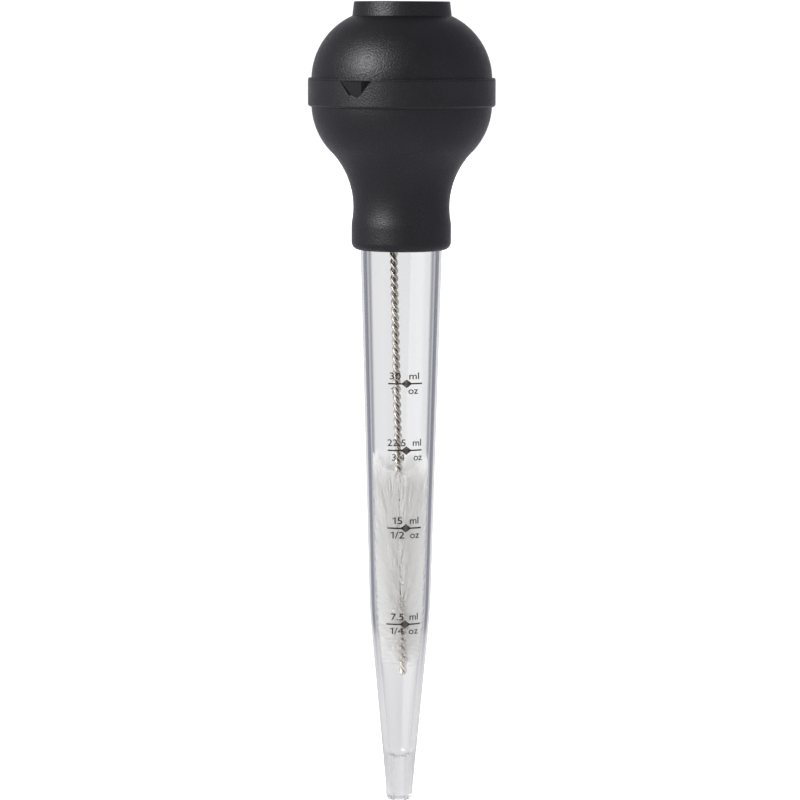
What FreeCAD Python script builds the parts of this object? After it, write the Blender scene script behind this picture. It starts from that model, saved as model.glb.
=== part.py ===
"""Bulb baster: a clear tapered tube with a printed scale, a two-piece silicone squeeze bulb and
a twisted-wire cleaning brush that is stored inside the tube.

Millimetres. +Z runs along the tube from the mouth (Z = 0) up to the flat end of the bulb.
-Y is the side that carries the printed scale."""

import FreeCAD, Part
import math
import os
import re
from FreeCAD import Placement, Rotation, Vector

# alias, value, what it is
SIZES = [
    ("mouth_radius", 2.3, "bore of the mouth"),
    ("mouth_round", 0.7, "rounding of the mouth's inner edge"),
    ("tip_radius", 4.8, "outside of the short straight land at the tip"),
    ("tip_round", 1.5, "rounding of the tip's outer edge"),
    ("tip_length", 4.4, "height of the straight land"),
    ("shoulder_radius", 10.85, "outside where the steep taper meets the long one"),
    ("shoulder_height", 69.0, "height of that change of taper"),
    ("shoulder_round", 150.0, "blend between the two tapers"),
    ("spigot_radius", 14.35, "outside of the tube's plain top end"),
    ("spigot_start", 196.0, "height where the top end begins"),
    ("tube_top", 216.0, "height of the tube's top rim"),
    ("rim_round", 0.6, "rounding of the top rim"),
    ("well_floor", 15.9, "height of the floor of the tube's cavity"),
    ("well_radius", 3.6, "where the cavity's steep taper would meet its floor"),
    ("well_rise", 3.2, "height of the cavity's rounded floor"),
    ("waist_radius", 8.75, "cavity where its two tapers meet"),
    ("waist_height", 67.0, "height of that change"),
    ("rim_bore", 12.3, "cavity at the tube's top rim"),
    ("seat_gap", 0.05, "running gap between the tube's top end and the bulb"),
    ("neck_bottom", 197.9, "lower end of the bulb's neck"),
    ("neck_radius", 17.6, "outside of the neck's lower bulge"),
    ("neck_corner", 2.85, "rounding of the neck's lower edge"),
    ("neck_blend", 12.0, "blend above the lower bulge"),
    ("lead_in", 0.3, "chamfer that lets the tube in"),
    ("throat_radius", 17.0, "outside of the neck at its narrowest"),
    ("throat_height", 213.0, "height of the narrowest place"),
    ("stop_radius", 12.4, "bore of the ring that stops the tube"),
    ("stop_gap", 0.1, "gap between the tube's rim and that ring"),
    ("stop_height", 1.9, "height of that ring"),
    ("wall", 2.6, "wall of the bulb"),
    ("round_centre", 7.2, "distance of the bulb's arc centres from the axis"),
    ("round_radius", 24.6, "radius of the bulb's arcs"),
    ("bowl_height", 249.5, "height of the lower arc's centre"),
    ("dome_height", 257.6, "height of the upper arc's centre"),
    ("band_radius", 33.0, "outside of the band"),
    ("band_bottom", 248.3, "lower edge of the band"),
    ("band_top", 257.6, "upper edge of the band"),
    ("band_chamfer", 0.6, "chamfer of the band's lower edge"),
    ("socket_radius", 29.6, "socket for the cap's skirt"),
    ("skirt_gap", 0.1, "gap round the cap's skirt"),
    ("skirt_bore", 27.3, "inside of the cap's skirt"),
    ("flange_gap", 0.05, "gap under the cap's flange"),
    ("flange_thickness", 0.7, "thickness of the cap's flange"),
    ("flange_round", 0.3, "rounding of the flange's upper edge"),
    ("foot_top", 285.0, "height of the flat end"),
    ("foot_radius", 16.85, "flat end at its top edge"),
    ("foot_base", 17.45, "flat end where it meets the dome"),
    ("foot_round", 0.45, "rounding of the flat end's edge"),
    ("dish_radius", 13.0, "floor of the shallow dish in the flat end"),
    ("dish_depth", 0.8, "depth of that dish"),
    ("notch_width", 12.5, "pry notch at its mouth"),
    ("notch_floor", 4.5, "pry notch at its bottom"),
    ("notch_depth", 5.7, "height of the pry notch"),
    ("notch_bow", 0.8, "rise of the notch's bottom towards its corners"),
    ("notch_angle", 29.4, "turn of the notch from the front, in degrees"),
    ("notch_near", 32.2, "distance from the axis of the notch's back at its shallow end"),
    ("notch_middle", 31.75, "the same at the crease where the back turns inwards"),
    ("notch_far", 29.9, "the same at the deep end"),
    ("notch_crease", 1.9, "sideways place of that crease"),
    ("notch_turn", 4.8, "sideways place where the deep end begins"),
    ("ink", 0.06, "thickness of the printed scale"),
    ("scale_turn", 7.5, "turn of the scale from the front, in degrees"),
    ("scale_half", 6.0, "half length of a scale line"),
    ("scale_line", 0.5, "thickness of a scale line"),
    ("diamond_width", 3.9, "width of the diamond on a scale line"),
    ("diamond_height", 3.1, "height of that diamond"),
    ("diamond_shift", 0.4, "how far the diamond sits from the line's middle"),
    ("level_a", 65.45, "height of the 7.5 ml line"),
    ("level_b", 100.1, "height of the 15 ml line"),
    ("level_c", 127.9, "height of the 22.5 ml line"),
    ("level_d", 151.6, "height of the 30 ml line"),
    ("wire_diameter", 1.4, "brush wire"),
    ("strand_radius", 0.71, "distance of each strand from the stem's middle"),
    ("twist", 5.63, "height of one full turn of the twisted stem"),
    ("twist_turns", 33.0, "turns of the stem"),
    ("stem_bottom", 45.7, "height of the stem's lower end"),
    ("stem_shift", 1.26, "sideways place of that end"),
    ("stem_lean", 1.48, "lean of the stem, in degrees"),
    ("loop_radius", 5.0, "middle of the wire in the hanging loop"),
    ("loop_rise", 8.4, "height of the loop's middle above the twisted stem"),
    ("tuft_bottom", 48.5, "lower end of the bristles"),
    ("tuft_top", 127.0, "upper end of the bristles"),
    ("tuft_gap", 0.3, "clearance round the bristles and the wire"),
]

ALIASES = {alias for alias, _, _ in SIZES}
LEVELS = [("7_5_ml", "level_a"), ("15_ml", "level_b"), ("22_5_ml", "level_c"), ("30_ml", "level_d")]
TOLERANCE = 1e-3

doc = FreeCAD.newDocument("baster")
sheet = doc.addObject("Spreadsheet::Sheet", "sizes")


def fill_sheet():
    """Writes the driving dimensions, one row each."""
    for row, (alias, value, note) in enumerate(SIZES, start=1):
        sheet.set(f"A{row}", note)
        sheet.set(f"B{row}", str(value))
        sheet.setAlias(f"B{row}", alias)
    doc.recompute()


def bound(text):
    """An expression in which every bare alias points at its cell."""
    return re.sub(r"[a-z_]+", lambda m: f"sizes.{m[0]}" if m[0] in ALIASES else m[0], text)


def number(text):
    """The present value of such an expression."""
    return float(sheet.evalExpression(bound(text)))


def plane_of(body, role):
    """One of a body's own origin planes."""
    return next(f for f in body.Origin.OriginFeatures if f.Role == role)


# ---------------------------------------------------------------- sketch outlines


def arc_between(start, end, radius, side):
    """The short arc from start to end. Side +1 has its centre to the left of the way there."""
    half = (end - start) * 0.5
    reach = math.sqrt(radius**2 - half.Length**2)
    across = Vector(-half.y, half.x, 0).normalize()
    centre = start + half + across * (reach * side)
    first, last = (start, end) if side > 0 else (end, start)
    angles = [math.atan2(p.y - centre.y, p.x - centre.x) for p in (first, last)]
    return Part.ArcOfCircle(Part.Circle(centre, Vector(0, 0, 1), radius), *angles)


def draw_outline(sketch, steps):
    """Draws a closed outline. Each step is (x, y) for a line to that point, or (x, y, radius, side)
    for an arc to it, and every point and radius is bound to the sheet."""
    places = [Vector(number(s[0]), number(s[1]), 0) for s in steps]
    count = len(steps)
    ends = []
    for i, step in enumerate(steps):
        start, end = places[i - 1], places[i]
        if len(step) == 2:
            sketch.addGeometry(Part.LineSegment(start, end))
            ends.append((1, 2))
        else:
            radius, side = step[2], step[3]
            sketch.addGeometry(arc_between(start, end, number(radius), side))
            ends.append((1, 2) if side > 0 else (2, 1))
            index = sketch.addConstraint(Sketcher_constraint("Radius", i, number(radius)))
            sketch.setExpression(f"Constraints[{index}]", bound(radius))
    for i in range(count):
        following = (i + 1) % count
        sketch.addConstraint(
            Sketcher_constraint("Coincident", i, ends[i][1], following, ends[following][0])
        )
    for i, step in enumerate(steps):
        for axis, kind in enumerate(("DistanceX", "DistanceY")):
            text = step[axis]
            if text == "0":
                line = -2 if kind == "DistanceX" else -1
                sketch.addConstraint(Sketcher_constraint("PointOnObject", i, ends[i][1], line))
                continue
            index = sketch.addConstraint(
                Sketcher_constraint(kind, -1, 1, i, ends[i][1], places[i][axis])
            )
            sketch.setExpression(f"Constraints[{index}]", bound(text))


def Sketcher_constraint(*values):
    """A sketch constraint. The module is imported late, because Part has to come first."""
    import Sketcher

    return Sketcher.Constraint(*values)


def new_sketch(body, name, role):
    sketch = body.newObject("Sketcher::SketchObject", name)
    sketch.AttachmentSupport = [(plane_of(body, role), "")]
    sketch.MapMode = "FlatFace"
    return sketch


def turned_body(label, steps):
    """A body turned about Z from an outline of (radius, height) steps."""
    body = doc.addObject("PartDesign::Body", label)
    body.Label = label
    sketch = new_sketch(body, f"{label}_outline", "XZ_Plane")
    draw_outline(sketch, steps)
    turn = body.newObject("PartDesign::Revolution", f"{label}_turn")
    turn.Profile = sketch
    turn.ReferenceAxis = (sketch, ["V_Axis"])
    turn.Angle = 360
    doc.recompute()
    return body


def ring_edges(shape, rings):
    """Names of the round edges about Z that have these radii and heights."""
    found = []
    for index, edge in enumerate(shape.Edges, start=1):
        if not isinstance(edge.Curve, Part.Circle):
            continue
        for radius, height in rings:
            off = abs(edge.Curve.Radius - radius) + abs(edge.Curve.Center.z - height)
            if off < TOLERANCE:
                found.append(f"Edge{index}")
    return found


def round_edges(body, name, rings, size):
    """A fillet of that size on the body's round edges, given as (radius, height)."""
    base = body.Tip
    edges = ring_edges(base.Shape, [(number(r), number(h)) for r, h in rings])
    if len(edges) < len(rings):
        raise RuntimeError(f"{name}: an edge is missing")
    fillet = body.newObject("PartDesign::Fillet", name)
    fillet.Base = (base, edges)
    fillet.setExpression("Radius", bound(size))
    doc.recompute()


# ---------------------------------------------------------------- the tube


def make_tube():
    low_out = "(shoulder_radius - tip_radius) / (shoulder_height - tip_length)"
    high_out = "(spigot_radius - shoulder_radius) / (spigot_start - shoulder_height)"
    low_in = "(waist_radius - well_radius) / (waist_height - well_floor)"
    high_in = "(rim_bore - waist_radius) / (tube_top - waist_height)"
    out = f"shoulder_round * ({low_out} - {high_out}) / 2"
    inn = f"shoulder_round * ({low_in} - {high_in}) / 2"
    well_step = f"(well_radius + {low_in} * well_rise - mouth_radius)"
    well_round = f"(well_rise * well_rise + {well_step} * {well_step}) / (2 * {well_step})"
    tube = turned_body(
        "tube",
        [
            ("mouth_radius", "0"),
            ("tip_radius", "0"),
            ("tip_radius", "tip_length"),
            (f"shoulder_radius - {low_out} * {out}", f"shoulder_height - {out}"),
            (
                f"shoulder_radius + {high_out} * {out}",
                f"shoulder_height + {out}",
                "shoulder_round",
                1,
            ),
            ("spigot_radius", "spigot_start"),
            ("spigot_radius", "tube_top"),
            ("rim_bore", "tube_top"),
            (f"waist_radius + {high_in} * {inn}", f"waist_height + {inn}"),
            (
                f"waist_radius - {low_in} * {inn}",
                f"waist_height - {inn}",
                "shoulder_round",
                -1,
            ),
            (f"well_radius + {low_in} * well_rise", "well_floor + well_rise"),
            ("mouth_radius", "well_floor", well_round, -1),
        ],
    )
    round_edges(tube, "tip_rounding", [("tip_radius", "0")], "tip_round")
    round_edges(tube, "mouth_rounding", [("mouth_radius", "0")], "mouth_round")
    round_edges(
        tube,
        "rim_rounding",
        [("spigot_radius", "tube_top"), ("rim_bore", "tube_top")],
        "rim_round",
    )
    return tube


# ---------------------------------------------------------------- the bulb

# The neck is one arc that turns into the bowl's arc and is upright at the throat.
DROP = "(bowl_height - throat_height)"
INSET = "(round_radius - throat_radius + round_centre)"
SPAN = f"(({DROP} * {DROP} + {INSET} * {INSET}) / (2 * {INSET}))"
NECK_ARC = f"({SPAN} - round_radius)"
NECK_CENTRE = f"(throat_radius + {NECK_ARC})"


def on_bowl(radius):
    """The point on a bowl arc of that radius where the neck's arc takes over."""
    across = f"round_centre + {radius} * ({SPAN} - {INSET}) / {SPAN}"
    up = f"bowl_height - {radius} * {DROP} / {SPAN}"
    return across, up


def on_neck(radius, height):
    """How far from the axis a neck arc of that radius is at a height."""
    return f"{NECK_CENTRE} - sqrt({radius} ^ 2 - ({height} - throat_height) ^ 2)"


def make_bulb_body():
    bowl_in = "(round_radius - wall)"
    neck_in = f"({NECK_ARC} + wall)"
    stop = "(tube_top + stop_gap)"
    flare = "(tube_top + stop_gap + stop_height + 3)"
    bulge = f"throat_height - sqrt({NECK_ARC} ^ 2 - ({NECK_CENTRE} - neck_radius) ^ 2)"
    seat = "spigot_radius + seat_gap"
    body = turned_body(
        "bulb_shell",
        [
            (f"{seat} + lead_in", "neck_bottom"),
            ("neck_radius - neck_corner", "neck_bottom"),
            ("neck_radius", "neck_bottom + neck_corner", "neck_corner", 1),
            ("neck_radius", bulge),
            (*on_bowl("round_radius"), NECK_ARC, -1),
            (
                "round_centre + sqrt(round_radius ^ 2 - (bowl_height - band_bottom) ^ 2)",
                "band_bottom",
                "round_radius",
                1,
            ),
            ("band_radius - band_chamfer", "band_bottom"),
            ("band_radius", "band_bottom + band_chamfer"),
            ("band_radius", "band_top"),
            ("socket_radius", "band_top"),
            ("socket_radius", "bowl_height"),
            (f"round_centre + {bowl_in}", "bowl_height"),
            (*on_bowl(bowl_in), bowl_in, -1),
            (on_neck(neck_in, flare), flare, neck_in, 1),
            ("stop_radius", f"{stop} + stop_height"),
            ("stop_radius", stop),
            (seat, stop),
            (seat, "neck_bottom + lead_in"),
        ],
    )
    round_edges(body, "neck_rounding", [("neck_radius", bulge)], "neck_blend")
    return cut_notch(body)


def padded_body(label, role, start, steps, length):
    """A block: an outline padded by a length along its plane's normal, from a height above it."""
    body = doc.addObject("PartDesign::Body", label)
    body.Label = label
    sketch = new_sketch(body, f"{label}_outline", role)
    sketch.AttachmentOffset = Placement(Vector(0, 0, number(start)), Rotation())
    draw_outline(sketch, steps)
    pad = body.newObject("PartDesign::Pad", f"{label}_pad")
    pad.Profile = sketch
    pad.Type = "Length"
    pad.Length = length
    doc.recompute()
    return body


def cut_notch(body):
    """A finger notch in the band's upper edge, under the cap's flange. Its outline is a blunt V, and
    its back slopes gently inwards and then drops away at the right."""
    corner = "band_top - notch_depth + notch_bow"
    half = "notch_floor / 2"
    bow = f"(({half}) * ({half}) + notch_bow * notch_bow) / (2 * notch_bow)"
    face = padded_body(
        "notch_face",
        "XZ_Plane",
        "0",
        [
            ("-notch_width / 2", "band_top + 1"),
            ("-notch_width / 2", "band_top"),
            ("-notch_floor / 2", corner),
            ("notch_floor / 2", corner, bow, 1),
            ("notch_width / 2", "band_top"),
            ("notch_width / 2", "band_top + 1"),
        ],
        40,
    )
    plan = padded_body(
        "notch_plan",
        "XY_Plane",
        "band_bottom",
        [
            ("-notch_width / 2 - 1", "-notch_near"),
            ("-notch_width / 2 - 1", "-band_radius - 2"),
            ("notch_width / 2 + 1", "-band_radius - 2"),
            ("notch_width / 2 + 1", "-notch_far"),
            ("notch_turn", "-notch_far"),
            ("notch_crease", "-notch_middle"),
        ],
        20,
    )
    cutter = doc.addObject("Part::MultiCommon", "notch")
    cutter.Shapes = [face, plan]
    cutter.Placement = Placement(Vector(), Rotation(Vector(0, 0, 1), -number("notch_angle")))
    cut = doc.addObject("Part::Cut", "bulb_body")
    cut.Label = "bulb_body"
    cut.Base = body
    cut.Tool = cutter
    doc.recompute()
    print("notch took", round(body.Shape.Volume - cut.Shape.Volume, 2), "mm3")
    return cut


def make_bulb_cap():
    dome_in = "(round_radius - wall)"
    under = "band_top + flange_gap"
    over = "band_top + flange_gap + flange_thickness"
    ceiling = f"dome_height + {dome_in}"
    foot_joint = "dome_height + sqrt(round_radius ^ 2 - (foot_base - round_centre) ^ 2)"
    skirt_joint = f"dome_height + sqrt({dome_in} ^ 2 - (skirt_bore - round_centre) ^ 2)"
    body = turned_body(
        "bulb_cap",
        [
            ("0", "foot_top - dish_depth"),
            ("0", ceiling),
            ("round_centre", ceiling),
            ("skirt_bore", skirt_joint, dome_in, -1),
            ("skirt_bore", "bowl_height + skirt_gap"),
            ("socket_radius - skirt_gap", "bowl_height + skirt_gap"),
            ("socket_radius - skirt_gap", under),
            ("band_radius - 0.1", under),
            ("band_radius - 0.1", over),
            (
                f"round_centre + sqrt(round_radius ^ 2 - ({over} - dome_height) ^ 2)",
                over,
            ),
            ("foot_base", foot_joint, "round_radius", 1),
            ("foot_radius", "foot_top"),
            ("dish_radius + dish_depth", "foot_top"),
            ("dish_radius", "foot_top - dish_depth"),
        ],
    )
    round_edges(body, "foot_rounding", [("foot_radius", "foot_top")], "foot_round")
    round_edges(body, "flange_rounding", [("band_radius - 0.1", over)], "flange_round")
    return body


# ---------------------------------------------------------------- the printed scale


def make_scale_mark(name, level, tube):
    """One printed line with its diamond: a thin skin of ink on the tube's outside."""
    half, thick = number("scale_half"), number("scale_line") / 2
    wide, tall, shift = number("diamond_width") / 2, number("diamond_height") / 2, number("diamond_shift")
    height = number(level)
    rise = thick * wide / tall
    corners = [
        (-half, -thick),
        (shift - wide + rise, -thick),
        (shift, -tall),
        (shift + wide - rise, -thick),
        (half, -thick),
        (half, thick),
        (shift + wide - rise, thick),
        (shift, tall),
        (shift - wide + rise, thick),
        (-half, thick),
    ]
    points = [Vector(x, 0, height + z) for x, z in corners]
    stencil = Part.Face(Part.makePolygon(points + points[:1])).extrude(Vector(0, -30, 0))
    stencil.rotate(Vector(), Vector(0, 0, 1), number("scale_turn"))
    skin = Part.makeShell([f for f in tube.Shape.Faces if faces_out(f)]).common(stencil)
    out = Rotation(Vector(0, 0, 1), number("scale_turn")).multVec(Vector(0, -number("ink"), 0))
    mark = doc.addObject("Part::Feature", f"scale_{name}")
    mark.Label = f"scale_{name}"
    solids = [face.extrude(out) for face in skin.Faces]
    mark.Shape = solids[0] if len(solids) == 1 else solids[0].fuse(solids[1:]).removeSplitter()
    return mark


def faces_out(face):
    """True for a face of the tube that looks away from its axis."""
    u0, u1, v0, v1 = face.ParameterRange
    middle = face.valueAt((u0 + u1) / 2, (v0 + v1) / 2)
    normal = face.normalAt((u0 + u1) / 2, (v0 + v1) / 2)
    return normal.x * middle.x + normal.y * middle.y > 0.5 * Vector(middle.x, middle.y, 0).Length


# ---------------------------------------------------------------- the brush


def brush_place():
    """Where the stem's lower end stands, and its lean towards -X."""
    lean = Rotation(Vector(0, 1, 0), -number("stem_lean"))
    return Placement(Vector(number("stem_shift"), 0, number("stem_bottom")), lean)


def make_strand(name, start_angle):
    """One leg of the wire: a left-handed helix about the stem."""
    helix = doc.addObject("Part::Helix", f"{name}_path")
    helix.LocalCoord = "Left-handed"
    helix.Style = "New style"
    helix.SegmentLength = 1
    helix.setExpression("Pitch", bound("twist"))
    helix.setExpression("Height", bound("twist * twist_turns"))
    helix.setExpression("Radius", bound("strand_radius"))
    section = doc.addObject("Part::Circle", f"{name}_section")
    section.setExpression("Radius", bound("wire_diameter / 2"))
    slope = math.degrees(math.atan2(2 * math.pi * number("strand_radius"), number("twist")))
    upright = Rotation(Vector(1, 0, 0), slope)
    section.Placement = Placement(Vector(number("strand_radius"), 0, 0), upright)
    doc.recompute()
    strand = doc.addObject("Part::Sweep", name)
    strand.Sections = [section]
    strand.Spine = (helix, [f"Edge{i + 1}" for i in range(len(helix.Shape.Edges))])
    strand.Solid = True
    strand.Frenet = True
    strand.Placement = Placement(Vector(), Rotation(Vector(0, 0, 1), start_angle))
    doc.recompute()
    return strand


def make_loop():
    """The bend that joins the two legs into a loop to pull the brush out by."""
    offset, rise, ring = number("strand_radius"), number("loop_rise"), number("loop_radius")
    start = number("twist * twist_turns")
    slope = math.atan2(2 * math.pi * offset, number("twist"))
    turns = [math.radians(-50 + 35 * i) for i in range(9)]
    around = [
        Vector(
            ring * math.cos(turn),
            offset * 0.9 * (1 - 2 * i / (len(turns) - 1)),
            start + rise + ring * math.sin(turn),
        )
        for i, turn in enumerate(turns)
    ]
    points = [Vector(0, offset, start), *around, Vector(0, -offset, start)]
    up = Vector(math.sin(slope), 0, math.cos(slope))
    down = Vector(math.sin(slope), 0, -math.cos(slope))
    path = Part.BSplineCurve()
    path.interpolate(Points=points, InitialTangent=up, FinalTangent=down)
    section = Part.Wire(Part.makeCircle(number("wire_diameter / 2"), points[0], up))
    loop = doc.addObject("Part::Feature", "loop")
    loop.Shape = Part.Wire(path.toShape()).makePipeShell([section], True, False)
    return loop


def make_brush_wire():
    """One length of wire: two twisted legs joined by the loop."""
    wire = doc.addObject("Part::MultiFuse", "brush_wire")
    wire.Label = "brush_wire"
    wire.Shapes = [make_strand("leg_a", 90), make_loop(), make_strand("leg_b", -90)]
    wire.Placement = brush_place()
    return wire


def make_bristles():
    """The space that the bristles fill, with a leaning hole for the wire."""
    slope_low = "(waist_radius - well_radius) / (waist_height - well_floor)"
    slope_high = "(rim_bore - waist_radius) / (tube_top - waist_height)"
    low = f"well_radius + {slope_low} * (tuft_bottom - well_floor) - tuft_gap"
    high = f"waist_radius + {slope_high} * (tuft_top - waist_height) - tuft_gap"
    tuft = turned_body(
        "tuft",
        [
            ("0", "tuft_bottom"),
            (low, "tuft_bottom"),
            ("waist_radius - tuft_gap", "waist_height"),
            (high, "tuft_top"),
            ("0", "tuft_top"),
        ],
    )
    hole = doc.addObject("Part::Cylinder", "wire_space")
    hole.setExpression("Radius", bound("strand_radius + wire_diameter / 2 + tuft_gap / 3"))
    hole.Height = 120
    hole.Placement = brush_place()
    bristles = doc.addObject("Part::Cut", "brush_bristles")
    bristles.Label = "brush_bristles"
    bristles.Base = tuft
    bristles.Tool = hole
    return bristles


# ---------------------------------------------------------------- build and write


def write(parts):
    """Checks every object and each piece's shape, then writes the pieces."""
    doc.recompute()
    for item in doc.Objects:
        if {"Invalid", "Error"} & set(item.State):
            raise RuntimeError(f"{item.Name} failed: {item.State}")
    os.makedirs("parts", exist_ok=True)
    for part in parts:
        shape = part.Shape
        if shape.isNull() or not shape.isValid() or not shape.Solids:
            raise RuntimeError(f"{part.Label} has no valid solid")
        print(f"{part.Label}: {len(shape.Solids)} solid, {shape.Volume:.1f} mm3")
        shape.exportStep(f"parts/{part.Label}.step")


fill_sheet()
tube = make_tube()
pieces = [tube, make_bulb_body(), make_bulb_cap()]
pieces += [make_scale_mark(name, level, tube) for name, level in LEVELS]
pieces += [make_brush_wire(), make_bristles()]
write(pieces)
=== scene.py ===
"""Looks for the bulb baster: clear tube, silicone bulb, printed scale and the brush inside."""

import math
import random

import bpy
from mathutils import Matrix, Vector


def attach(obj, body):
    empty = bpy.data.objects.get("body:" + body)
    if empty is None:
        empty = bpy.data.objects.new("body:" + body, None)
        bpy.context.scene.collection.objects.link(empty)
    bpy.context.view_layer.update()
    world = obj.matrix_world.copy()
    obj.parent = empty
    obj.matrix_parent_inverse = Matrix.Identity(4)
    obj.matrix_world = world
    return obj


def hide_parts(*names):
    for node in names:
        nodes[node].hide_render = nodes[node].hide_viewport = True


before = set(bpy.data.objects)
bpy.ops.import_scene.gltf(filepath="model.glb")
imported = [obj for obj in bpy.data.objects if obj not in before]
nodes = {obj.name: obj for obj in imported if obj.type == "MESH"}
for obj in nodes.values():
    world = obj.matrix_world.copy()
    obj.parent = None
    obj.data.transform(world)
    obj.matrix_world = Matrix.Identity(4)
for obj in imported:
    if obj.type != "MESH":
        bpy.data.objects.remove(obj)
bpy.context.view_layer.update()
scene = bpy.context.scene
MM = 0.001


# ---------------------------------------------------------------- sizes shared with the CAD, in mm

# The tube's outside and inside as (height, radius).
OUTSIDE = [(4.4, 4.8), (69.0, 10.85), (196.0, 14.35)]
INSIDE = [(15.9, 3.6), (67.0, 8.75), (216.0, 12.3)]
# The foot of the brush's twisted stem, its lean towards -X and the height of one turn.
STEM_FOOT = Vector((1.26, 0.0, 45.7))
STEM_LEAN = math.radians(1.48)
PITCH = 5.63
# The pry notch's faces are nearer the axis than this, and above this height.
NOTCH_REACH = 32.7
NOTCH_FLOOR = 251.3
# How far the diamonds' middles are right of the axis.
DIAMOND_X = 1.94


def radius_at(profile, height):
    """The profile's second value at a height, by straight lines between its points."""
    for (z0, r0), (z1, r1) in zip(profile, profile[1:]):
        if height <= z1:
            break
    return r0 + (r1 - r0) * (height - z0) / (z1 - z0)


def stem_at(height):
    """The middle of the twisted stem at a height."""
    rise = height - STEM_FOOT.z
    return Vector((STEM_FOOT.x - rise * math.tan(STEM_LEAN), 0.0, height))


# ---------------------------------------------------------------- node helpers


def new_material(name):
    mat = bpy.data.materials.new(name)
    mat.use_nodes = True
    tree = mat.node_tree
    tree.nodes.clear()
    out = tree.nodes.new("ShaderNodeOutputMaterial")
    return mat, tree, out


def add(tree, kind, **settings):
    """A new node. Settings that name an input set its value, the others set the node's own fields."""
    node = tree.nodes.new(kind)
    for name, value in settings.items():
        if hasattr(node, name):
            setattr(node, name, value)
        else:
            node.inputs[name.replace("_", " ")].default_value = value
    return node


def feed(tree, socket, value):
    """Links value to socket, or sets it there if it is a number or a colour."""
    if isinstance(value, bpy.types.NodeSocket):
        tree.links.new(value, socket)
    else:
        socket.default_value = value


def maths(tree, operation, *values, use_clamp=False):
    node = add(tree, "ShaderNodeMath", operation=operation, use_clamp=use_clamp)
    for socket, value in zip(node.inputs, values):
        feed(tree, socket, value)
    return node.outputs[0]


def vector_maths(tree, operation, first, second=None):
    """The result is a number for a length or a dot product, else a vector."""
    node = add(tree, "ShaderNodeVectorMath", operation=operation)
    feed(tree, node.inputs[0], first)
    if second is not None:
        feed(tree, node.inputs["Scale" if operation == "SCALE" else 1], second)
    return node.outputs["Value" if operation in ("LENGTH", "DOT_PRODUCT") else "Vector"]


def split(tree, vector):
    node = tree.nodes.new("ShaderNodeSeparateXYZ")
    tree.links.new(vector, node.inputs[0])
    return node.outputs["X"], node.outputs["Y"], node.outputs["Z"]


def combine(tree, x=0.0, y=0.0, z=0.0):
    node = tree.nodes.new("ShaderNodeCombineXYZ")
    for socket, value in zip(node.inputs, (x, y, z)):
        feed(tree, socket, value)
    return node.outputs[0]


def noise(tree, vector, scale, detail=2.0, rough=0.5):
    node = add(tree, "ShaderNodeTexNoise", Scale=scale, Detail=detail, Roughness=rough)
    tree.links.new(vector, node.inputs["Vector"])
    return node.outputs["Fac"]


def ramp(tree, value, stops):
    """A colour ramp over (position, grey or colour) stops."""
    node = tree.nodes.new("ShaderNodeValToRGB")
    tree.links.new(value, node.inputs["Fac"])
    points = node.color_ramp.elements
    while len(points) < len(stops):
        points.new(0.5)
    for point, (place, colour) in zip(points, stops):
        point.position = place
        grey = isinstance(colour, (int, float))
        point.color = (colour, colour, colour, 1) if grey else (*colour, 1)
    return node.outputs["Color"]


def spread(tree, value, low, high, to_low, to_high):
    """Value remapped from low..high to to_low..to_high."""
    node = tree.nodes.new("ShaderNodeMapRange")
    for name, number in (("From Min", low), ("From Max", high), ("To Min", to_low), ("To Max", to_high)):
        node.inputs[name].default_value = number
    tree.links.new(value, node.inputs["Value"])
    return node.outputs["Result"]


def blend(tree, share, value, other):
    """Value where share is 0, the number other where it is 1."""
    node = tree.nodes.new("ShaderNodeMix")
    tree.links.new(share, node.inputs["Factor"])
    tree.links.new(value, node.inputs[2])
    node.inputs[3].default_value = other
    return node.outputs[0]


def mix_colour(tree, share, colour, other):
    """Colour where share is 0, the plain colour other where it is 1."""
    node = add(tree, "ShaderNodeMix", data_type="RGBA")
    tree.links.new(share, node.inputs["Factor"])
    tree.links.new(colour, node.inputs[6])
    node.inputs[7].default_value = (*other, 1)
    return node.outputs[2]


def mix_shader(tree, share, shader, other):
    """Shader where share is 0, other where it is 1."""
    node = tree.nodes.new("ShaderNodeMixShader")
    feed(tree, node.inputs["Fac"], share)
    tree.links.new(shader, node.inputs[1])
    tree.links.new(other, node.inputs[2])
    return node.outputs[0]


def bump(tree, height, distance, strength):
    node = add(tree, "ShaderNodeBump", Strength=strength, Distance=distance)
    tree.links.new(height, node.inputs["Height"])
    return node.outputs["Normal"]


def coordinates(tree):
    return tree.nodes.new("ShaderNodeTexCoord").outputs["Object"]


# ---------------------------------------------------------------- materials


def silicone(name, depth, index, notched=False):
    """Black silicone with a fine moulded grain of that depth. The pry notch is smooth and glossy, and its
    colour is darker there as painted shade in the recess.
    """
    mat, tree, out = new_material(name)
    link = tree.links.new
    place = coordinates(tree)
    shader = add(tree, "ShaderNodeBsdfPrincipled", IOR=index)
    grain = noise(tree, place, 1700, 1.0, 0.5)
    mottle = noise(tree, place, 260, 4.0, 0.6)
    cloud = noise(tree, place, 45, 3.0, 0.5)
    colour = ramp(tree, cloud, [(0.3, (0.0036, 0.0036, 0.005)), (0.7, (0.0052, 0.0052, 0.0071))])
    roughness = maths(
        tree,
        "ADD",
        spread(tree, mottle, 0.3, 0.7, 0.38, 0.45),
        spread(tree, grain, 0.3, 0.7, -0.03, 0.06),
    )
    height = grain
    if notched:
        polished_and_shaded = notch_zone(tree, place)
        # Painted shade: the notch's colour is darker, standing in for the shade that falls in the recess.
        colour = mix_colour(tree, polished_and_shaded, colour, (0.0025, 0.0025, 0.0034))
        roughness = blend(tree, polished_and_shaded, roughness, 0.24)
        height = blend(tree, polished_and_shaded, height, 0.5)
    link(colour, shader.inputs["Base Color"])
    link(roughness, shader.inputs["Roughness"])
    link(bump(tree, height, depth, 1.0), shader.inputs["Normal"])
    link(shader.outputs[0], out.inputs["Surface"])
    return mat


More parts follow.
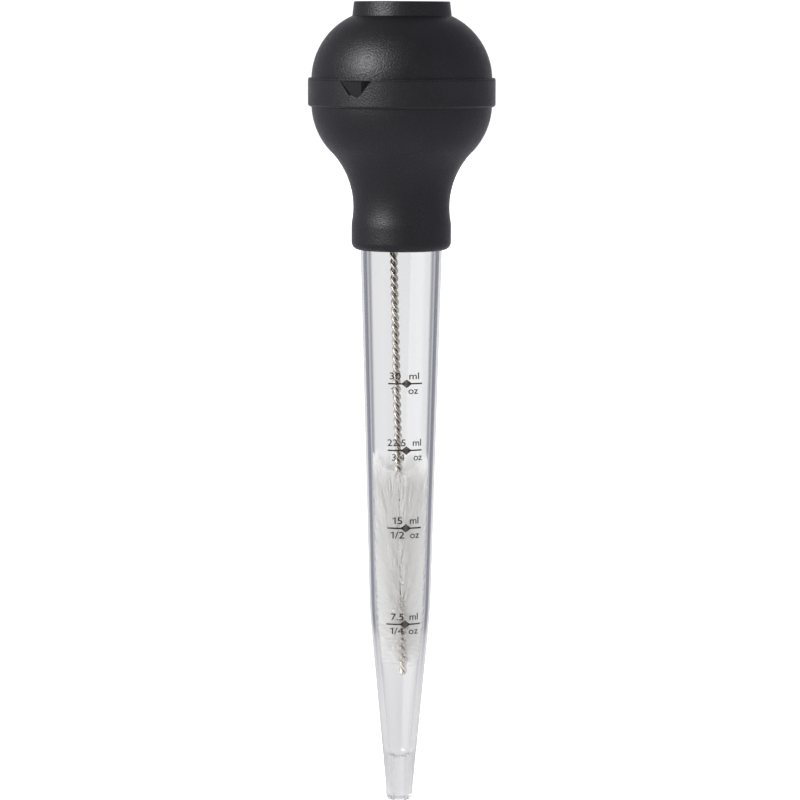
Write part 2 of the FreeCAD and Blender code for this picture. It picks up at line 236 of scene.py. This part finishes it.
def notch_zone(tree, place):
    """1 on the pry notch's faces, else 0."""
    x, y, z = split(tree, place)
    reach = vector_maths(tree, "LENGTH", combine(tree, x, y))
    near = maths(tree, "LESS_THAN", reach, NOTCH_REACH * MM)
    high = maths(tree, "GREATER_THAN", z, NOTCH_FLOOR * MM)
    return maths(tree, "MULTIPLY", near, high)


def round_normal(tree, place):
    """The mesh's normal with its sideways part turned to lie along the radius, so that the tube is
    optically round. Its height part, and which side it is on, stay as they are."""
    x, y, _ = split(tree, place)
    radial = vector_maths(tree, "NORMALIZE", combine(tree, x, y))
    normal = tree.nodes.new("ShaderNodeNewGeometry").outputs["Normal"]
    side = maths(tree, "SIGN", vector_maths(tree, "DOT_PRODUCT", radial, normal))
    height = split(tree, normal)[2]
    rest = maths(tree, "SUBTRACT", 1.0, maths(tree, "MULTIPLY", height, height), use_clamp=True)
    reach = maths(tree, "MULTIPLY", maths(tree, "SQRT", rest), side)
    outward = vector_maths(tree, "SCALE", radial, reach)
    return vector_maths(tree, "ADD", outward, combine(tree, z=height))


def clear_plastic():
    """Clear moulded plastic, hazy at the tip. Rays from lamps pass straight through, so that the
    brush is lit."""
    mat, tree, out = new_material("clear_plastic_look")
    link = tree.links.new
    place = coordinates(tree)
    shader = add(
        tree,
        "ShaderNodeBsdfPrincipled",
        IOR=1.5,
        Base_Color=(0.98, 0.982, 0.986, 1),
        Transmission_Weight=1.0,
    )
    haze = spread(tree, noise(tree, place, 300, 3.0, 0.6), 0.35, 0.75, 0.012, 0.04)
    # Haze and tip together stay under a roughness of 0.27, above which the denoiser leaves a band.
    tip = ramp(
        tree,
        spread(tree, split(tree, place)[2], 0.0, 0.05, 0.0, 1.0),
        [(0.28, 0.22), (0.36, 0.14), (0.5, 0.08), (0.6, 0.06), (1.0, 0.0)],
    )
    link(maths(tree, "ADD", haze, tip), shader.inputs["Roughness"])
    link(round_normal(tree, place), shader.inputs["Normal"])
    clear = add(tree, "ShaderNodeBsdfTransparent", Color=(0.97, 0.97, 0.975, 1))
    path = tree.nodes.new("ShaderNodeLightPath")
    surface = mix_shader(tree, path.outputs["Is Shadow Ray"], shader.outputs[0], clear.outputs[0])
    link(surface, out.inputs["Surface"])
    return mat


def printed_ink(name, worn=False):
    """Black ink, on the scale lines worn thin and brown at the diamonds' middles."""
    mat, tree, out = new_material(name)
    link = tree.links.new
    place = coordinates(tree)
    shader = add(tree, "ShaderNodeBsdfPrincipled", Roughness=0.6, Specular_IOR_Level=0.2)
    grain = noise(tree, place, 3500, 2.0, 0.6)
    colour = ramp(tree, grain, [(0.35, (0.008, 0.006, 0.005)), (0.7, (0.017, 0.013, 0.011))])
    if worn:
        aside = maths(tree, "SUBTRACT", split(tree, place)[0], DIAMOND_X * MM)
        near = spread(tree, maths(tree, "ABSOLUTE", aside), 0.0004, 0.0012, 0.8, 0.0)
        specks = spread(tree, noise(tree, place, 1800, 2.0, 0.6), 0.4, 0.62, 0.15, 0.8)
        thinned = maths(tree, "MULTIPLY", near, specks)
        colour = mix_colour(tree, thinned, colour, (0.1, 0.083, 0.076))
    link(colour, shader.inputs["Base Color"])
    link(bump(tree, grain, 0.00001, 0.4), shader.inputs["Normal"])
    link(shader.outputs[0], out.inputs["Surface"])
    return mat


def drawn_wire():
    """Bright drawn wire, with painted shade darkening the crease between its twisted legs, less so at its
    foot.
    """
    mat, tree, out = new_material("steel_wire_look")
    link = tree.links.new
    place = coordinates(tree)
    x, y, z = split(tree, place)
    shader = add(tree, "ShaderNodeBsdfPrincipled")
    streak = noise(tree, place, 1400, 3.0, 0.6)
    tarnish = noise(tree, place, 180, 2.0, 0.5)
    colour = ramp(tree, tarnish, [(0.3, (0.6, 0.55, 0.5)), (0.7, (0.78, 0.74, 0.69))])
    foot, top = STEM_FOOT, stem_at(STEM_FOOT.z + 200.0)
    middle = spread(tree, z, foot.z * MM, top.z * MM, foot.x * MM, top.x * MM)
    from_middle = vector_maths(tree, "LENGTH", combine(tree, maths(tree, "SUBTRACT", x, middle), y))
    # Painted shade: the colour darkens near the stem's middle, where the crease between the legs lies in
    # shade, and less towards the foot.
    painted_crease_shade = maths(
        tree,
        "MULTIPLY",
        spread(tree, from_middle, 0.00045, 0.0008, 1.0, 0.0),
        spread(tree, z, 0.06, 0.11, 0.3, 1.0),
    )
    link(mix_colour(tree, painted_crease_shade, colour, (0.06, 0.05, 0.045)), shader.inputs["Base Color"])
    link(spread(tree, streak, 0.3, 0.7, 0.08, 0.18), shader.inputs["Roughness"])
    link(bump(tree, streak, 0.00001, 0.3), shader.inputs["Normal"])
    link(spread(tree, z, 0.055, 0.09, 0.7, 1.0), shader.inputs["Metallic"])
    link(shader.outputs[0], out.inputs["Surface"])
    return mat


def nylon():
    """Milky nylon that scatters light through the filaments, with a faint glow of painted light that lifts
    their shade.
    """
    mat, tree, out = new_material("nylon_look")
    link = tree.links.new
    shader = add(
        tree,
        "ShaderNodeBsdfPrincipled",
        Roughness=0.35,
        IOR=1.5,
        # Painted light: a faint emission that brightens the bristles' shaded parts.
        Emission_Color=(1, 0.99, 0.98, 1),
        Emission_Strength=0.05,
    )
    tone = noise(tree, coordinates(tree), 900, 2.0, 0.5)
    colour = ramp(tree, tone, [(0.3, (0.945, 0.94, 0.93)), (0.7, (0.98, 0.977, 0.968))])
    link(colour, shader.inputs["Base Color"])
    through = tree.nodes.new("ShaderNodeBsdfTranslucent")
    link(colour, through.inputs["Color"])
    link(mix_shader(tree, 0.6, shader.outputs[0], through.outputs[0]), out.inputs["Surface"])
    return mat


MARK_INK = printed_ink("mark_look", worn=True)
WORD_INK = printed_ink("ink_look")
NYLON = nylon()
NODE_LOOKS = {
    "tube": clear_plastic(),
    "bulb_body": silicone("silicone_look", 0.00009, 1.43, notched=True),
    "bulb_cap": silicone("silicone_cap_look", 0.00012, 1.38),
    "brush_wire": drawn_wire(),
    "scale_7_5_ml": MARK_INK,
    "scale_15_ml": MARK_INK,
    "scale_22_5_ml": MARK_INK,
    "scale_30_ml": MARK_INK,
}
for node_name, look in NODE_LOOKS.items():
    nodes[node_name].data.materials.clear()
    nodes[node_name].data.materials.append(look)


# ---------------------------------------------------------------- bristles, in mm

# The lowest and highest roots on the stem, and the height between one pair of filaments and the next.
ROOTS_LOW, ROOTS_HIGH, ROOT_STEP = 48.9, 119.0, 0.0264
# The lowest part of the brush where filaments are sparser, as a share of its length, and how many
# of them there are at its very end.
SPARSE_PART, SPARSEST = 0.12, 0.25
FILAMENT_RADIUS = 0.058
SIDES = 3
# How far from the stem's middle a filament starts, and the highest that one can reach.
ROOT_OUT = 0.9
BRUSH_TOP = 126.8
# How near a filament's aim and its side may come to the tube's wall.
AIM_GAP, WALL_GAP = 0.12, 0.1
# Where along a filament its points are.
PLACES = (0.0, 0.2, 0.42, 0.65, 0.85, 1.0)
# How much a filament bends up, against how far up the brush it is.
LIFT = [(0.0, 0.05), (0.12, 0.12), (0.25, 0.4), (0.4, 0.8), (0.7, 1.6), (1.0, 1.9)]


def add_filament(verts, faces, path):
    """A thin closed rod along path, tapering a little to its tip."""
    base = len(verts)
    count = len(path)
    for i, point in enumerate(path):
        ahead = path[min(i + 1, count - 1)] - path[max(i - 1, 0)]
        ahead.normalize()
        across = ahead.cross(Vector((0.13, 0.21, 1.0))).normalized()
        other = ahead.cross(across)
        size = FILAMENT_RADIUS * (1.0 - 0.25 * i / (count - 1))
        for k in range(SIDES):
            turn = math.tau * k / SIDES
            verts.append(point + across * (math.cos(turn) * size) + other * (math.sin(turn) * size))
    for i in range(count - 1):
        for k in range(SIDES):
            a = base + i * SIDES + k
            b = base + i * SIDES + (k + 1) % SIDES
            faces.append((a, b, b + SIDES, a + SIDES))
    faces.append(tuple(base + k for k in reversed(range(SIDES))))
    faces.append(tuple(base + (count - 1) * SIDES + k for k in range(SIDES)))


def filament_path(centre, out, height, lift, rng):
    """From the stem out to the wall, bending up along it. Lift is how much of the way goes up."""
    start = centre + out * ROOT_OUT
    uneven = 8.0 * rng.betavariate(1.6, 2.0)
    # Lower on the right and in front.
    top = BRUSH_TOP - uneven - 1.5 * max(out.x, 0.0) - 5.0 * max(-out.y, 0.0) ** 2
    rise = 0.0
    for _ in range(2):
        limit = radius_at(INSIDE, height + rise) - AIM_GAP
        along = start.x * out.x + start.y * out.y
        square = start.x**2 + start.y**2
        reach = -along + math.sqrt(max(along**2 - square + limit**2, 0.1))
        rise = min(reach * max(lift, 0.0), max(top - height, 0.0))
    reach *= rng.uniform(0.95, 1.0)
    wave = rng.gauss(0.0, 0.45)
    aside = Vector((-out.y, out.x, 0.0)) * wave
    path = []
    for t in PLACES:
        distance = reach * (1 - (1 - t) ** 1.5)
        point = start + out * distance + aside * t * t + Vector((0, 0, rise * t**1.5))
        flat = math.hypot(point.x, point.y)
        wall = radius_at(INSIDE, point.z) - WALL_GAP
        if flat > wall:
            point.x *= wall / flat
            point.y *= wall / flat
        path.append(point)
    return path


def make_bristles():
    """Two rows of filaments that wind down the stem with its twist, sparser at the low end."""
    rng = random.Random(7)
    verts, faces = [], []
    length = ROOTS_HIGH - ROOTS_LOW
    for n in range(int(length / ROOT_STEP)):
        height = ROOTS_LOW + n * ROOT_STEP + rng.uniform(-0.25, 0.25)
        share = min(max((height - ROOTS_LOW) / length, 0.0), 1.0)
        if rng.random() > SPARSEST + share / SPARSE_PART:
            continue
        turn = -math.tau * height / PITCH + 0.4
        for side in (0.0, math.pi):
            angle = turn + side + rng.gauss(0.0, 1.1)
            lift = radius_at(LIFT, share) * rng.uniform(0.7, 1.3) + rng.gauss(0.0, 0.12)
            out = Vector((math.cos(angle), math.sin(angle), 0.0))
            add_filament(verts, faces, filament_path(stem_at(height), out, height, lift, rng))
    mesh = bpy.data.meshes.new("bristles")
    mesh.from_pydata([tuple(v * MM) for v in verts], [], faces)
    mesh.validate()
    mesh.polygons.foreach_set("use_smooth", [True] * len(mesh.polygons))
    mesh.materials.append(NYLON)
    piece = bpy.data.objects.new("bristles", mesh)
    scene.collection.objects.link(piece)
    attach(piece, "brush")
    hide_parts("brush_bristles")


make_bristles()


# ---------------------------------------------------------------- printed numbers, in mm

# A plain figure one with a flag, anticlockwise, in parts of a text unit. The built-in one is a bar.
FIGURE_ONE = [
    (0.245, 0.0),
    (0.34, 0.0),
    (0.34, 0.68),
    (0.27, 0.68),
    (0.07, 0.56),
    (0.07, 0.475),
    (0.245, 0.57),
]
ONE_ADVANCE = 0.42
# Half the thickness of a flat word, in the same units.
HALF = 0.01
# The height of a figure, and the feet of the words over and under a mark, above the mark's line.
DIGIT = 2.42
FOOT_ABOVE = 1.5
FOOT_BELOW = -3.68
# The ink's outer face stands this proud of the tube, and its inner face is this deep in it.
INK_OUT, INK_IN = 0.05, 0.02


def flat_text(text):
    """The outline of a word as a thin closed mesh one unit high, in the built-in font."""
    verts, faces = [], []
    rest = text
    if text.startswith("1"):
        rest = text[1:]
        count = len(FIGURE_ONE)
        verts = [Vector((x, y, z)) for z in (-HALF, HALF) for x, y in FIGURE_ONE]
        faces = [tuple(reversed(range(count))), tuple(range(count, 2 * count))]
        faces += [(k, (k + 1) % count, (k + 1) % count + count, k + count) for k in range(count)]
    if rest:
        mesh = built_in_text(rest)
        shift = Vector((ONE_ADVANCE if verts else 0.0, 0, 0))
        start = len(verts)
        verts += [v.co + shift for v in mesh.vertices]
        faces += [tuple(start + k for k in face.vertices) for face in mesh.polygons]
    word = bpy.data.meshes.new("word")
    word.from_pydata(verts, [], faces)
    return word


def built_in_text(text):
    curve = bpy.data.curves.new("word", "FONT")
    curve.body = text
    curve.size = 1.0
    curve.extrude = HALF
    # A little bolder, except where there is a 4, whose counter would close up.
    curve.offset = 0.0 if "4" in text else 0.006
    curve.resolution_u = 6
    word = bpy.data.objects.new("word", curve)
    scene.collection.objects.link(word)
    bpy.context.view_layer.update()
    graph = bpy.context.evaluated_depsgraph_get()
    mesh = bpy.data.meshes.new_from_object(word.evaluated_get(graph))
    bpy.data.objects.remove(word)
    return mesh


figure_heights = [v.co.y for v in flat_text("5").vertices]
FIGURE_LOW, FIGURE_HIGH = min(figure_heights), max(figure_heights)


def make_word(name, text, left, right, foot):
    """Wraps a word round the tube so that its ends are left and right of the axis by those amounts,
    seen from the front."""
    mesh = flat_text(text)
    xs = [v.co.x for v in mesh.vertices]
    low, high = min(xs), max(xs)
    for vert in mesh.vertices:
        share = (vert.co.x - low) / (high - low)
        height = foot + (vert.co.y - FIGURE_LOW) / (FIGURE_HIGH - FIGURE_LOW) * DIGIT
        radius = radius_at(OUTSIDE, height)
        start, end = math.asin(left / radius), math.asin(right / radius)
        angle = start + (end - start) * share
        depth = radius + (INK_OUT if vert.co.z > 0 else -INK_IN)
        vert.co = Vector((math.sin(angle) * depth, -math.cos(angle) * depth, height)) * MM
    mesh.materials.clear()
    mesh.materials.append(WORD_INK)
    piece = bpy.data.objects.new(name, mesh)
    scene.collection.objects.link(piece)
    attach(piece, "tube")


# Each mark, its height, and the words over and under it as (text, left end, right end).
WORDS = [
    ("scale_30_ml", 151.6, [("30", -3.9, 0.0), ("ml", 3.0, 6.4)], [("1", -3.4, -2.56), ("oz", 2.7, 6.1)]),
    ("scale_22_5_ml", 127.9, [("22.5", -4.6, 1.8), ("ml", 4.3, 7.2)], [("3/4", -3.0, 1.4), ("oz", 4.6, 7.5)]),
    ("scale_15_ml", 100.1, [("15", -2.8, 0.7), ("ml", 3.4, 6.4)], [("1/2", -3.5, 1.5), ("oz", 3.5, 6.6)]),
    ("scale_7_5_ml", 65.45, [("7.5", -3.2, 1.3), ("ml", 3.4, 6.3)], [("1/4", -3.6, 1.3), ("oz", 3.1, 6.3)]),
]
for mark, level, above, below in WORDS:
    for where, foot, words in (("above", FOOT_ABOVE, above), ("below", FOOT_BELOW, below)):
        for text, left, right in words:
            part = "unit" if text in ("ml", "oz") else "number"
            make_word(f"{mark}_{where}_{part}", text, left, right, level + foot)


# ---------------------------------------------------------------- floor, light and camera, in m

# What refracted rays see below the tube, and the brightness and tint of what lights the bristles.
TABLE = (0.77, 0.765, 0.775)
SOFT_STRENGTH, SOFT_COLOUR = 1.08, (1, 1, 0.99)
# The dark cards that the tube's edges bend into view.
CARD = (0.19, 0.195, 0.235)
SCREEN_RADIUS = 0.2
SCREEN_BOTTOM, SCREEN_TOP = -0.08, 0.36
SCREEN_SIDES = 96


def background(tree, colour, strength):
    return add(tree, "ShaderNodeBackground", Color=(*colour, 1), Strength=strength).outputs[0]


def studio():
    """White all round to the eye, dim greys in the silicone's reflections, and soft white on the
    bristles."""
    world = bpy.data.worlds.new("studio")
    scene.world = world
    world.use_nodes = True
    tree = world.node_tree
    tree.nodes.clear()
    out = tree.nodes.new("ShaderNodeOutputWorld")
    x, y, z = split(tree, tree.nodes.new("ShaderNodeTexCoord").outputs["Generated"])
    across = ramp(
        tree,
        spread(tree, x, -1.0, 1.0, 0.0, 1.0),
        [
            (0.0, (0.62, 0.61, 0.7)),
            (0.3, (0.38, 0.38, 0.43)),
            (0.5, (0.26, 0.26, 0.29)),
            (1.0, (0.42, 0.42, 0.47)),
        ],
    )
    below = mix_colour(tree, spread(tree, z, -0.1, -0.7, 0.0, 1.0), across, (0.62, 0.62, 0.7))
    behind = mix_colour(tree, spread(tree, y, 0.7, 1.0, 0.0, 1.0), below, (0.85, 0.85, 0.9))
    mirrored = add(tree, "ShaderNodeBackground", Strength=1.0)
    tree.links.new(behind, mirrored.inputs["Color"])
    path = tree.nodes.new("ShaderNodeLightPath").outputs
    shown = mirrored.outputs[0]
    shown = mix_shader(tree, path["Is Transmission Ray"], shown, background(tree, TABLE, 1.0))
    shown = mix_shader(tree, path["Diffuse Depth"], shown, background(tree, SOFT_COLOUR, SOFT_STRENGTH))
    shown = mix_shader(tree, path["Is Camera Ray"], shown, background(tree, (1, 1, 1), 1.1))
    tree.links.new(shown, out.inputs["Surface"])


def quarter_tones(tree, x, y, z):
    """The screen's colours for the tube: white in front and behind, pale at the sides, with a dark
    card at each quarter, all fading into the table below."""
    turn = maths(tree, "ARCTAN2", maths(tree, "ABSOLUTE", x), maths(tree, "ABSOLUTE", y))
    around = ramp(
        tree,
        spread(tree, turn, 0.0, math.pi / 2, 0.0, 1.0),
        [
            (0.0, (0.87, 0.87, 0.87)),
            (19 / 90, (0.85, 0.85, 0.86)),
            (23 / 90, (0.5, 0.5, 0.54)),
            (27 / 90, CARD),
            (46 / 90, CARD),
            (55 / 90, (0.6, 0.6, 0.64)),
            (1.0, (0.72, 0.72, 0.75)),
        ],
    )
    fade = ramp(
        tree,
        spread(tree, z, -0.07, 0.03, 0.0, 1.0),
        [(0.0, 1.0), (0.5, 0.97), (0.63, 0.8), (0.72, 0.62), (0.82, 0.4), (0.94, 0.0)],
    )
    return mix_colour(tree, fade, around, TABLE)


def wire_tones(tree, x, y):
    """The screen's colours for the wire: bright on the left, with a dark gap straight in front."""
    turn = maths(tree, "ARCTAN2", x, maths(tree, "MULTIPLY", y, -1.0))
    return ramp(
        tree,
        spread(tree, turn, -math.pi, math.pi, 0.0, 1.0),
        [
            (0.0, (0.3, 0.29, 0.28)),
            (0.2, (0.3, 0.29, 0.28)),
            (0.25, 1.0),
            (0.42, 1.0),
            (0.455, 0.02),
            (0.55, 0.02),
            (0.6, (0.24, 0.23, 0.22)),
            (1.0, (0.28, 0.27, 0.26)),
        ],
    )


def screen():
    """What the clear tube bends into view: a round screen that only refracted rays meet. Rays that
    the wire inside the tube has mirrored see the wire's tones, and rays that the bristles have
    scattered see soft white."""
    mat, tree, out = new_material("screen_cards")
    x, y, z = split(tree, coordinates(tree))
    for_tube = add(tree, "ShaderNodeEmission", Strength=1.0)
    tree.links.new(quarter_tones(tree, x, y, z), for_tube.inputs["Color"])
    for_wire = add(tree, "ShaderNodeEmission", Strength=1.6)
    tree.links.new(wire_tones(tree, x, y), for_wire.inputs["Color"])
    soft = add(tree, "ShaderNodeEmission", Color=(*SOFT_COLOUR, 1), Strength=SOFT_STRENGTH)
    path = tree.nodes.new("ShaderNodeLightPath").outputs
    inside = maths(tree, "GREATER_THAN", path["Transmission Depth"], 3.5)
    mirrored = maths(tree, "MULTIPLY", path["Glossy Depth"], inside, use_clamp=True)
    shown = mix_shader(tree, mirrored, for_tube.outputs[0], for_wire.outputs[0])
    shown = mix_shader(tree, path["Diffuse Depth"], shown, soft.outputs[0])
    tree.links.new(shown, out.inputs["Surface"])
    verts, faces = [], []
    for k in range(SCREEN_SIDES):
        turn = math.tau * k / SCREEN_SIDES
        east, north = math.sin(turn) * SCREEN_RADIUS, math.cos(turn) * SCREEN_RADIUS
        verts += [(east, north, SCREEN_BOTTOM), (east, north, SCREEN_TOP)]
        after = (k + 1) % SCREEN_SIDES
        faces.append((2 * k, 2 * after, 2 * after + 1, 2 * k + 1))
    mesh = bpy.data.meshes.new("screen")
    mesh.from_pydata(verts, [], faces)
    mesh.materials.append(mat)
    wall = bpy.data.objects.new("screen", mesh)
    scene.collection.objects.link(wall)
    wall.visible_camera = False
    wall.visible_diffuse = False
    wall.visible_glossy = False
    wall.visible_shadow = False


def floor():
    """A pale floor that can be seen through from below."""
    mat, tree, out = new_material("floor_white")
    shader = add(
        tree,
        "ShaderNodeBsdfPrincipled",
        Roughness=0.8,
        Base_Color=(0.85, 0.85, 0.85, 1),
        Emission_Color=(1, 1, 1, 1),
        Emission_Strength=0.8,
    )
    clear = tree.nodes.new("ShaderNodeBsdfTransparent")
    under = tree.nodes.new("ShaderNodeNewGeometry").outputs["Backfacing"]
    surface = mix_shader(tree, under, shader.outputs[0], clear.outputs[0])
    tree.links.new(surface, out.inputs["Surface"])
    mesh = bpy.data.meshes.new("floor")
    half, under_tip = 6.0, 0.0002
    corners = [(-half, -half, 0), (half, -half, 0), (half, half, 0), (-half, half, 0)]
    mesh.from_pydata(corners, [], [(0, 1, 2, 3)])
    mesh.materials.append(mat)
    plane = bpy.data.objects.new("floor", mesh)
    plane.location.z = -under_tip
    scene.collection.objects.link(plane)
    plane.visible_glossy = False
    plane.visible_transmission = False


def area(name, place, aim, size, power, lights):
    """A square lamp. It lights diffuse surfaces, or only makes highlights on glossy ones."""
    data = bpy.data.lights.new(name, "AREA")
    data.shape = "SQUARE"
    data.size = size
    data.energy = power
    lamp = bpy.data.objects.new(name, data)
    lamp.location = place
    lamp.rotation_euler = (Vector(aim) - Vector(place)).to_track_quat("-Z", "Y").to_euler()
    scene.collection.objects.link(lamp)
    lamp.visible_transmission = False
    lamp.visible_diffuse = lights == "diffuse"
    lamp.visible_glossy = lights == "glossy"


def camera():
    """A long lens, a little above the baster's middle and tilted down."""
    data = bpy.data.cameras.new("camera")
    data.sensor_width = 36
    data.lens = 148.86
    data.clip_end = 50
    eye = bpy.data.objects.new("camera", data)
    tilt = math.radians(6.5)
    distance = 1.175
    aim = Vector((-0.00025, 0, 0.1444))
    place = aim + Vector((0, -math.cos(tilt), math.sin(tilt))) * distance
    roll = Matrix.Rotation(math.radians(0.2), 4, "Z")
    turn = (aim - place).to_track_quat("-Z", "Y").to_matrix().to_4x4()
    eye.matrix_world = Matrix.Translation(place) @ turn @ roll
    scene.collection.objects.link(eye)
    scene.camera = eye


BULB_MIDDLE = (0, 0, 0.25)
TUBE_MIDDLE = (0, 0, 0.12)

studio()
screen()
floor()
area("key", (-0.62, -0.52, 0.66), BULB_MIDDLE, 0.44, 12, "glossy")
area("fill_right", (0.9, -0.9, 0.5), TUBE_MIDDLE, 0.8, 13, "diffuse")
area("fill_left", (-0.8, -1.0, 0.4), TUBE_MIDDLE, 0.8, 5, "diffuse")
camera()
scene.view_settings.view_transform = "Standard"
